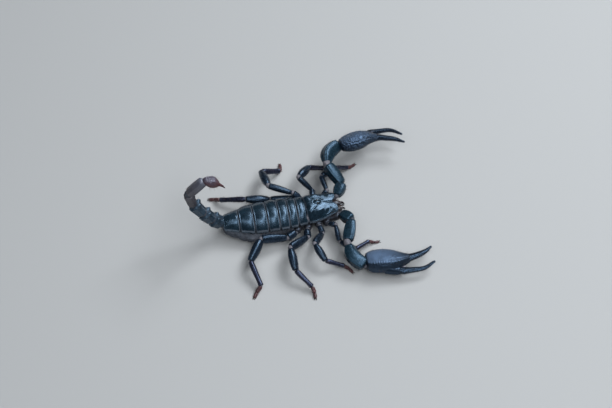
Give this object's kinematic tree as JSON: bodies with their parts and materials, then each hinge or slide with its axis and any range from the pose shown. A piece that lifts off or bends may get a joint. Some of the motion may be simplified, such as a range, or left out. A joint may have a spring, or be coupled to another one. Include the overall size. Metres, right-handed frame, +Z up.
{
  "type": "scorpion",
  "caption": "Still life-size model of a forest scorpion: low plated body on splayed legs, broad pincers held forward, ringed tail arched up to a curved sting.",
  "frame": {"origin": "middle of the footprint's bounding box, on the floor the feet stand on", "axes": "+X towards the head and pincers, +Y to the animal's left, +Z up"},
  "size_m": [0.1092, 0.0836, 0.0457],
  "materials": {
    "shell_blue_black": "glossy, finely granulated blue-black shell",
    "soft_brown": "matte grey-brown skin and lower plates",
    "tail_brown": "half-matte brown-black shell of the last tail lengths",
    "sting_rust": "smooth red-brown shell",
    "foot_blue": "half-glossy blue-violet shins with rust feet",
    "eye_black": "wet black"
  },
  "bodies": {
    "root": {"belly": "soft_brown", "carapace": "shell_blue_black", "chelicera_left": "soft_brown", "chelicera_right": "soft_brown", "claw_left_coxa": "soft_brown", "claw_left_femur": "shell_blue_black", "claw_left_finger": "shell_blue_black", "claw_left_hand": "shell_blue_black", "claw_left_patella": "shell_blue_black", "claw_left_trochanter": "shell_blue_black", "claw_right_coxa": "soft_brown", "claw_right_femur": "shell_blue_black", "claw_right_finger": "shell_blue_black", "claw_right_hand": "shell_blue_black", "claw_right_patella": "shell_blue_black", "claw_right_trochanter": "shell_blue_black", "comb_left": "soft_brown", "comb_right": "soft_brown", "eye_left": "eye_black", "eye_right": "eye_black", "leg_left_1_femur": "shell_blue_black", "leg_left_1_foot": "foot_blue", "leg_left_1_patella": "shell_blue_black", "leg_left_2_femur": "shell_blue_black", "leg_left_2_foot": "foot_blue", "leg_left_2_patella": "shell_blue_black", "leg_left_3_femur": "shell_blue_black", "leg_left_3_foot": "foot_blue", "leg_left_3_patella": "shell_blue_black", "leg_left_4_femur": "shell_blue_black", "leg_left_4_foot": "foot_blue", "leg_left_4_patella": "shell_blue_black", "leg_right_1_femur": "shell_blue_black", "leg_right_1_foot": "foot_blue", "leg_right_1_patella": "shell_blue_black", "leg_right_2_femur": "shell_blue_black", "leg_right_2_foot": "foot_blue", "leg_right_2_patella": "shell_blue_black", "leg_right_3_femur": "shell_blue_black", "leg_right_3_foot": "foot_blue", "leg_right_3_patella": "shell_blue_black", "leg_right_4_femur": "shell_blue_black", "leg_right_4_foot": "foot_blue", "leg_right_4_patella": "shell_blue_black", "sting": "sting_rust", "tail_1": "shell_blue_black", "tail_2": "shell_blue_black", "tail_3": "shell_blue_black", "tail_4": "tail_brown", "tail_5": "tail_brown", "tergite_1": "shell_blue_black", "tergite_2": "shell_blue_black", "tergite_3": "shell_blue_black", "tergite_4": "shell_blue_black", "tergite_5": "shell_blue_black", "tergite_6": "shell_blue_black", "tergite_7": "shell_blue_black", "underside": "soft_brown"}
  },
  "joints": []
}
